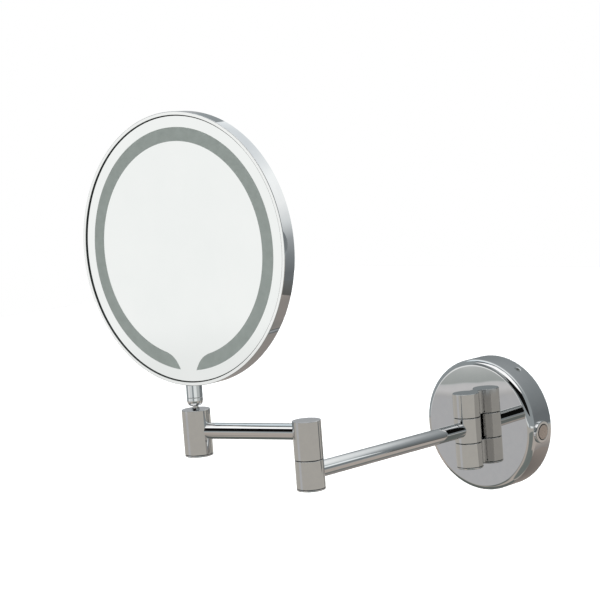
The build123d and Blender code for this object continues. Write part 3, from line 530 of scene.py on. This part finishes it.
stud_hole_r, web_under = STUD_R + CLEARANCE, POST_TOP - POST_WEB
head_post = bar("head_post_bar", POST_BOTTOM, POST_TOP, [
    (stud_hole_r, POST_TOP), (stud_hole_r, web_under), (SOCKET_R, web_under),
    (SOCKET_R, POST_BOTTOM)], AT_POST)
fit(head_post, "upper_arm", "head_post")
fit(cap("head_post_cap_disc", SOCKET_R, POST_BOTTOM, AT_POST), "upper_arm", "head_post_cap")

# ------------------------------------------------------------ ball stud, socket collar and neck
STUD_LOW, SHOULDER_Z, SHOULDER_TAPER = 34.5, 46.2, 0.6
# where the bore's flare meets the ball, from the ball's centre
FLARE_TOP, FLARE_R = 3.004, 2.641
waist_angle = -degrees(acos(WAIST_R / BALL_R))
flare_angle = degrees(atan2(FLARE_TOP, FLARE_R))
stud = lathe("ball_stud_turned", [
    (STUD_BORE_R, STUD_LOW), (STUD_R, STUD_LOW), (STUD_R, SHOULDER_Z), (WAIST_R, SHOULDER_Z + SHOULDER_TAPER),
    *arc((0, BALL_Z), BALL_R, waist_angle, flare_angle, 24), (STUD_BORE_R, BALL_Z)], AT_POST)
fit(stud, "ball_stud", "ball_stud")

COLLAR_MOUTH, COLLAR_SHOULDER, COLLAR_TOP, COLLAR_LIP = -2.7, 0.9, 3.05, 0.5
BULGE_INSET, BULGE_Z = 0.33, -1.0
mouth_r = sqrt(CAVITY_R**2 - COLLAR_MOUTH**2)
low_edge, shoulder = Vector((mouth_r + COLLAR_LIP, COLLAR_MOUTH)), Vector((NECK_R, COLLAR_SHOULDER))
bulge = Vector((NECK_R - BULGE_INSET, BULGE_Z))
# one smooth curve from the mouth's edge through the bulge to the shoulder
control = (bulge - low_edge * 0.25 - shoulder * 0.25) * 2
collar_steps = 12
collar_curve = []
for k in range(collar_steps + 1):
    t = k / collar_steps
    collar_curve.append(tuple(low_edge * (1 - t) ** 2 + control * 2 * t * (1 - t) + shoulder * t**2))
mouth_angle = degrees(asin(COLLAR_MOUTH / CAVITY_R))
collar = lathe("socket_collar_turned", [
    *collar_curve, (NECK_R, COLLAR_TOP - FINE_EDGE), (NECK_R - FINE_EDGE, COLLAR_TOP),
    (CAVITY_R, COLLAR_TOP), *arc((0, 0), CAVITY_R, 0, mouth_angle, 10)], AT_NECK)
fit(collar, "mirror_head", "socket_collar")

NECK_LOW, SPIGOT_R, LEAD_WAY_R, SPIGOT_TOP = 3.35, 2.3, 1.6, 22.4
CAVITY_END_TURN, CAVITY_END_Z = 12.0, 1.1


def neck_ring(radius, height):
    """A ring of the neck; no height puts it on the rim's round surface."""
    ring = []
    for k in range(PLAIN_SIDES):
        turn = 2 * pi * k / PLAIN_SIDES
        x, y = radius * cos(turn), radius * sin(turn)
        z = HEAD_RISE - sqrt(HEAD_R**2 - x**2) if height is None else height
        ring.append((x, y, z))
    return ring


plug_r = CAVITY_R - PRESS_FIT
neck_profile = arc((0, 0), CAVITY_R, degrees(acos(LEAD_WAY_R / CAVITY_R)), CAVITY_END_TURN, 8)
neck_profile += [(plug_r, CAVITY_END_Z), (plug_r, NECK_LOW)]
neck_profile += [(NECK_R - FINE_EDGE, NECK_LOW), (NECK_R, NECK_LOW + FINE_EDGE)]
neck_rings = [neck_ring(r, z) for r, z in neck_profile]
neck_rings += [neck_ring(NECK_R, None), neck_ring(SPIGOT_R, None)]
neck_rings += [neck_ring(SPIGOT_R, SPIGOT_TOP), neck_ring(LEAD_WAY_R, SPIGOT_TOP)]
neck = skin("neck_socket_turned", neck_rings, AT_NECK, loop=True)
fit(neck, "mirror_head", "neck_socket")

# ------------------------------------------------------------ mirror head
LIP_R, LIP_EDGE_R, WALL_R, STEP_Y = 97.25, 0.35, 98.5, -2.2
HEAD_SIDES = 256
rim = lathe("rim_band_drawn", rounded([
    (HEAD_R, FRONT_Y, LIP_EDGE_R), (HEAD_R, -FRONT_Y, LIP_EDGE_R), (WALL_R, -FRONT_Y, FINE_EDGE),
    (WALL_R, STEP_Y), (LIP_R, STEP_Y), (LIP_R, FRONT_Y, LIP_EDGE_R)]), AT_HEAD, HEAD_SIDES, depthwise=True)


def rim_finish(point):
    """Painted shade on the lip's inner wall (the dark seal finish), painted highlight on its front face (a
    brighter chrome), plain chrome elsewhere.
    """
    if hypot(point.x, point.z) < LIP_R + LIP_EDGE_R and point.y < STEP_Y:
        return 1
    return 2 if point.y < FRONT_Y + 0.01 else 0


paint(rim, AT_HEAD, (FINISH["chrome_plate"], EDGE_SEAL_AND_GAP_SHADE, LIP_CHROME_PAINTED_HIGHLIGHT), rim_finish)
fit(rim, "mirror_head", "rim_band")

# one tail of the lit band, from its inner edge to its outer edge
BAND_END = ((20.5, -75.9), (15.8, -78.2), (12.0, -81.6), (9.6, -85.0), (7.8, -88.4))


def between(p, q, r, s, t):
    """A smooth value from q to r, with p before them and s after, t from 0 to 1."""
    return 0.5 * (2 * q + (r - p) * t + (2 * p - 5 * q + 4 * r - s) * t**2 + (3 * q - p - 3 * r + s) * t**3)


def smooth_line(points, steps=6):
    """A smooth line through a few points."""
    padded = [points[0], *points, points[-1]]
    line = []
    for a, b, c, d in zip(padded, padded[1:], padded[2:], padded[3:]):
        for k in range(steps):
            t = k / steps
            line.append(tuple(between(p, q, r, s, t) for p, q, r, s in zip(a, b, c, d)))
    return line + [points[-1]]


def sweep_of(radius, start, end, steps):
    """Points on a circle about the glass's centre, ends left out."""
    turns = [radians(start + (end - start) * k / steps) for k in range(1, steps)]
    return [(radius * cos(t), radius * sin(t)) for t in turns]


def band_outline():
    """The frosted band's outline: out along one tail, round outside, back along the other, round inside."""
    right = smooth_line(BAND_END)
    left = [(-x, z) for x, z in right]
    outer_r, inner_r = hypot(*BAND_END[-1]), hypot(*BAND_END[0])
    outer_start = degrees(atan2(BAND_END[-1][1], BAND_END[-1][0]))
    inner_start = degrees(atan2(BAND_END[0][1], BAND_END[0][0]))
    outer = sweep_of(outer_r, outer_start, 180 - outer_start, 220)
    inner = sweep_of(inner_r, 180 - inner_start, inner_start, 200)
    return right + outer + left[::-1] + inner


def edge_loop(bm, points, y):
    """A closed line of edges at one depth of the head."""
    verts = [bm.verts.new(AT_HEAD @ (Vector((x, y, z)) * MM)) for x, z in points]
    edges = [bm.edges.new((a, b)) for a, b in zip(verts, verts[1:] + verts[:1])]
    return verts, edges


GLASS_CHAMFER = 0.3
glass = bmesh.new()
circle = [(cos(2 * pi * k / HEAD_SIDES), sin(2 * pi * k / HEAD_SIDES)) for k in range(HEAD_SIDES)]
loops = []
glass_edges = (
    (GLASS_R - GLASS_CHAMFER, GLASS_FRONT_Y), (GLASS_R, GLASS_FRONT_Y + GLASS_CHAMFER),
    (GLASS_R, GLASS_BACK_Y))
for radius, y in glass_edges:
    loops.append(edge_loop(glass, [(radius * x, radius * z) for x, z in circle], y))
_, band_edges = edge_loop(glass, band_outline(), GLASS_FRONT_Y)
SILVER, BAND, SEAL, PAINT = range(4)


def fill(edges, index):
    """Fills the part of the glass's front between closed lines, with one finish."""
    made = bmesh.ops.triangle_fill(glass, use_beauty=True, use_dissolve=False, edges=edges)
    for item in made["geom"]:
        if isinstance(item, bmesh.types.BMFace):
            item.material_index = index


fill(loops[0][1] + band_edges, SILVER)
fill(band_edges, BAND)
for (one, _), (two, _) in zip(loops, loops[1:]):
    for k in range(HEAD_SIDES):
        j = (k + 1) % HEAD_SIDES
        glass.faces.new((one[k], one[j], two[j], two[k])).material_index = SEAL
glass.faces.new(loops[2][0]).material_index = PAINT
mirror = settle(glass, "mirror_glass_silvered", smooth_angle=20)
for finish in (FINISH["silvering"], FROSTED, EDGE_SEAL_AND_GAP_SHADE, BACK_PAINT):
    mirror.data.materials.append(finish)
fit(mirror, "mirror_head", "mirror_silvering", "mirror_glass")

COVER_R, COVER_FRONT_Y, COVER_BACK_Y, COVER_EDGE, SKIRT_T, SKIRT_Y = 98.4, 4.0, 5.2, 0.5, 1.3, 3.4
cover = lathe("rear_cover_pressed", rounded([
    (0, COVER_FRONT_Y), (COVER_R - SKIRT_T, COVER_FRONT_Y), (COVER_R - SKIRT_T, SKIRT_Y), (COVER_R, SKIRT_Y),
    (COVER_R, COVER_BACK_Y, COVER_EDGE), (0, COVER_BACK_Y)]), AT_HEAD, BIG_SIDES, depthwise=True)
COVER_SCREW_SPREAD, SCREW_HOLE_R, SCREW_SINK_R, SINK_FOOT = 60.0, 1.4, 2.9, 4.05
# the countersink's drill starts in front of the cover and ends behind it
SINK_DRILL_FRONT, SINK_DRILL_BACK = 3, 6
countersink = [
    (0, SINK_DRILL_FRONT), (SCREW_HOLE_R, SINK_DRILL_FRONT), (SCREW_HOLE_R, SINK_FOOT),
    (SCREW_SINK_R, COVER_BACK_Y), (SCREW_SINK_R, SINK_DRILL_BACK), (0, SINK_DRILL_BACK)]
tools = []
for quarter_turn in range(4):
    angle = radians(45 + 90 * quarter_turn)
    spot = Vector((cos(angle), 0, sin(angle))) * COVER_SCREW_SPREAD * MM
    at_screw = AT_HEAD @ Matrix.Translation(spot)
    tools.append(lathe("tool", countersink, at_screw, HOLE_SIDES, depthwise=True))
cut(cover, *tools)
fit(cover, "mirror_head", "rear_cover")

# ------------------------------------------------------------ camera, as fitted to the photo
AZIMUTH, ELEVATION, ROLL = radians(44.0535), radians(5.9696), radians(-4.3132)
CAMERA_AT = (0.829641, -1.073904, 0.249452)
LENS, SENSOR = 102.22, 36.0
aside = Vector((cos(AZIMUTH), sin(AZIMUTH), 0))
back = Vector((sin(AZIMUTH) * cos(ELEVATION), -cos(AZIMUTH) * cos(ELEVATION), sin(ELEVATION)))
up = back.cross(aside)
turned_aside = aside * cos(ROLL) + up * sin(ROLL)
turned_up = up * cos(ROLL) - aside * sin(ROLL)
camera = bpy.data.objects.new("camera", bpy.data.cameras.new("camera"))
scene.collection.objects.link(camera)
camera.data.lens = LENS
camera.data.sensor_width = SENSOR
camera.data.clip_start = 0.01
pose = Matrix((turned_aside, turned_up, back)).transposed().to_4x4()
camera.matrix_world = Matrix.Translation(CAMERA_AT) @ pose
scene.camera = camera
scene.view_settings.view_transform = "Standard"

# ------------------------------------------------------------ studio: soft surround that chrome reflects
world = bpy.data.worlds.new("studio")
scene.world = world
world.use_nodes = True
world_nodes, world_links = world.node_tree.nodes, world.node_tree.links
world_nodes.clear()
direction = world_nodes.new("ShaderNodeTexCoord").outputs["Generated"]


def maths(operation, *values):
    """A maths node on sockets or numbers."""
    node = world_nodes.new("ShaderNodeMath")
    node.operation = operation
    for socket, value in zip(node.inputs, values):
        if isinstance(value, (int, float)):
            socket.default_value = value
        else:
            world_links.new(value, socket)
    return node.outputs[0]


def ramp_between(value, start, end):
    """0 below start, 1 above end, smooth between; falls instead if start is above end."""
    node = world_nodes.new("ShaderNodeMapRange")
    node.interpolation_type = "SMOOTHSTEP"
    world_links.new(value, node.inputs["Value"])
    rising = start < end
    node.inputs["From Min"].default_value, node.inputs["From Max"].default_value = sorted((start, end))
    node.inputs["To Min"].default_value, node.inputs["To Max"].default_value = (0, 1) if rising else (1, 0)
    return node.outputs["Result"]


def mixed(factor, one, two):
    """One colour where the factor is 0, the other where it is 1."""
    node = world_nodes.new("ShaderNodeMix")
    node.data_type = "RGBA"
    world_links.new(factor, node.inputs["Factor"])
    for socket, value in ((node.inputs[6], one), (node.inputs[7], two)):
        if isinstance(value, tuple):
            socket.default_value = value
        else:
            world_links.new(value, socket)
    return node.outputs[2]


split = world_nodes.new("ShaderNodeSeparateXYZ")
world_links.new(direction, split.inputs[0])
height = maths("MULTIPLY", maths("ARCSINE", split.outputs["Z"]), 180 / pi)


def card_mask(azimuth, half_width, low, high, soft, side_soft):
    """A soft-edged patch of the surround, angles in degrees."""
    turn = world_nodes.new("ShaderNodeVectorRotate")
    turn.rotation_type = "Z_AXIS"
    turn.inputs["Angle"].default_value = radians(-azimuth)
    world_links.new(direction, turn.inputs["Vector"])
    parts = world_nodes.new("ShaderNodeSeparateXYZ")
    world_links.new(turn.outputs[0], parts.inputs[0])
    around = maths("MULTIPLY", maths("ARCTAN2", parts.outputs["Y"], parts.outputs["X"]), 180 / pi)
    sideways = ramp_between(maths("ABSOLUTE", around), half_width + side_soft, half_width - side_soft)
    rise = ramp_between(height, low - soft, low + soft)
    fall = ramp_between(height, high + soft, high - soft)
    return maths("MULTIPLY", maths("MULTIPLY", sideways, rise), fall)


def through_chrome(*levels):
    """A surround colour that chrome shows at these display levels."""
    return (*[v / CHROME_REFLECTS for v in linear(*levels)[:3]], 1.0)


# the room: light floor below the line, greyer walls above it
FLOOR_LINE, LINE_SOFT = -9.15, 0.25
colour = mixed(ramp_between(height, FLOOR_LINE - LINE_SOFT, FLOOR_LINE + LINE_SOFT),
               through_chrome(160, 157, 151), through_chrome(134, 140, 142))
CARDS = (  # azimuth, half width, low, high, softness up and down, softness sideways, colour
    # below: warm floor all round, with darker patches on it
    (0, 200, -91, -15, 1.5, 1, through_chrome(164, 156, 149)),
    (99, 37, -50, -15, 2.0, 4, through_chrome(133, 128, 124)),
    (354, 88, -91, -40, 2.0, 6, through_chrome(104, 109, 106)),
    (160, 60, -91, -45, 2.0, 6, through_chrome(92, 97, 94)),
    (313, 36, -50, -13.5, 0.8, 6, through_chrome(108, 113, 110)),
    (181, 36, -64, -27, 2.0, 4, through_chrome(90, 95, 92)),
    (236, 12, -49, -16.5, 1.5, 4, through_chrome(98, 103, 100)),
    # thin light strips just above the floor line
    (248, 36, -9.1, -6.5, 0.3, 3, through_chrome(196, 200, 200)),
    (329, 22, -9.1, -6.5, 0.3, 2, through_chrome(214, 218, 217)),
    (12, 20, -9.1, -6.5, 0.3, 3, through_chrome(170, 174, 173)),
    # grey patches behind the object
    (54, 30, -6.0, 11, 1.5, 2, through_chrome(112, 117, 119)),
    (137.5, 8, 4, 16, 1.5, 2, through_chrome(147, 149, 151)),
    # overhead panels: pale, white and dark
    (140, 40, 41, 75, 2.0, 2, through_chrome(205, 216, 222)),
    (278, 61, 41, 82, 1.2, 1.2, through_chrome(252, 252, 252)),
    (198, 16, 52, 80, 1.5, 1.5, through_chrome(70, 74, 78)),
    # between the horizon and the overhead panels: a bright patch behind and a black one in front
    (40, 8, 12, 26, 2.5, 2.5, through_chrome(226, 232, 233)),
    (285, 46, 6.4, 41, 0.8, 0.8, through_chrome(14, 14, 14)),
    # what the flat faces show: the first three are seen in the rose, the last two in the mirror
    (231.6, 11, -30, -9.34, 0.3, 6, through_chrome(165, 165, 166)),
    (231.6, 11, -9.39, -9.06, 0.15, 6, through_chrome(186, 185, 185)),
    (231.6, 11, -9.06, -8.3, 0.04, 6, through_chrome(150, 154, 152)),
    (231.6, 11, -8.2, 8, 0.4, 2, (1.08, 1.09, 1.08, 1.0)),
    (231.6, 11, -8.2, -5.9, 1.0, 2, (0.98, 0.99, 0.98, 1.0)),
)
for *patch, shade_colour in CARDS:
    colour = mixed(card_mask(*patch), colour, shade_colour)
seen = mixed(world_nodes.new("ShaderNodeLightPath").outputs["Is Camera Ray"], colour, (1.0, 1.0, 1.0, 1.0))
background = world_nodes.new("ShaderNodeBackground")
world_links.new(seen, background.inputs["Color"])
world_links.new(background.outputs[0], world_nodes.new("ShaderNodeOutputWorld").inputs["Surface"])


def studio_card(name, x_range, z_range, y, stops):
    """A flat upright card that only shiny surfaces see; stops are (height in metres, colour)."""
    (left, right), (low, high) = x_range, z_range
    mesh = bpy.data.meshes.new(name)
    mesh.from_pydata([(left, y, low), (right, y, low), (right, y, high), (left, y, high)], [], [(0, 1, 2, 3)])
    card = bpy.data.objects.new(name, mesh)
    scene.collection.objects.link(card)
    mat = bpy.data.materials.new(name)
    mat.use_nodes = True
    nodes, links = mat.node_tree.nodes, mat.node_tree.links
    nodes.clear()
    place, parts = nodes.new("ShaderNodeTexCoord"), nodes.new("ShaderNodeSeparateXYZ")
    span, ramp = nodes.new("ShaderNodeMapRange"), nodes.new("ShaderNodeValToRGB")
    glow = nodes.new("ShaderNodeEmission")
    span.inputs["From Min"].default_value, span.inputs["From Max"].default_value = low, high
    while len(ramp.color_ramp.elements) < len(stops):
        ramp.color_ramp.elements.new(0.5)
    for element, (z, level) in zip(ramp.color_ramp.elements, stops):
        element.position = (z - low) / (high - low)
        element.color = level
    links.new(place.outputs["Object"], parts.inputs[0])
    links.new(parts.outputs["Z"], span.inputs["Value"])
    links.new(span.outputs["Result"], ramp.inputs["Fac"])
    links.new(ramp.outputs["Color"], glow.inputs["Color"])
    links.new(glow.outputs[0], nodes.new("ShaderNodeOutputMaterial").inputs["Surface"])
    mesh.materials.append(mat)
    card.visible_camera = card.visible_diffuse = card.visible_shadow = card.visible_transmission = False


studio_card("card_behind", (-0.27, 0.25), (-0.015, 0.8), 0.10, (
    (0.02, through_chrome(100, 104, 106)), (0.10, through_chrome(122, 127, 129)),
    (0.175, through_chrome(150, 154, 156)), (0.25, through_chrome(204, 208, 209)),
    (0.335, through_chrome(232, 234, 234)), (0.44, through_chrome(238, 241, 241)),
    (0.52, through_chrome(205, 210, 213))))

studio_card("card_below", (-0.12, 0.10), (-0.132, -0.085), 0.10, (
    (-0.13, through_chrome(102, 96, 92)), (-0.09, through_chrome(132, 124, 118))))

studio_card("card_beside", (0.155, 0.25), (-0.075, -0.015), 0.10, (
    (-0.07, through_chrome(88, 88, 86)), (-0.02, through_chrome(98, 101, 101))))

FLOOR_Z = -0.35
floor_mesh = bmesh.new()
bmesh.ops.create_grid(floor_mesh, x_segments=8, y_segments=8, size=4.0)
floor = settle(floor_mesh, "floor")
floor.modifiers.clear()
floor.location = (0, 0, FLOOR_Z)
floor.data.materials.append(
    surface("pale_floor", linear(238, 238, 238), linear(246, 246, 246), (0.8, 0.9), scale=3.0))
floor.visible_glossy = False


def lamp(name, kind, place, target, energy, size):
    """A soft light that chrome doesn't show; its size is a width in metres, or an angle for a sun."""
    data = bpy.data.lights.new(name, kind)
    data.energy = energy
    if kind == "AREA":
        data.size = size
    else:
        data.angle = size
    light = bpy.data.objects.new(name, data)
    scene.collection.objects.link(light)
    light.location = place
    light.rotation_euler = (Vector(target) - Vector(place)).to_track_quat("-Z", "Y").to_euler()
    light.visible_glossy = False


lamp("overhead", "SUN", (0, 0, 2), (0, 0, 0), energy=3.3, size=radians(70))
lamp("key", "AREA", (0.9, -1.6, 1.3), (-0.05, -0.15, 0.1), energy=14.0, size=1.2)
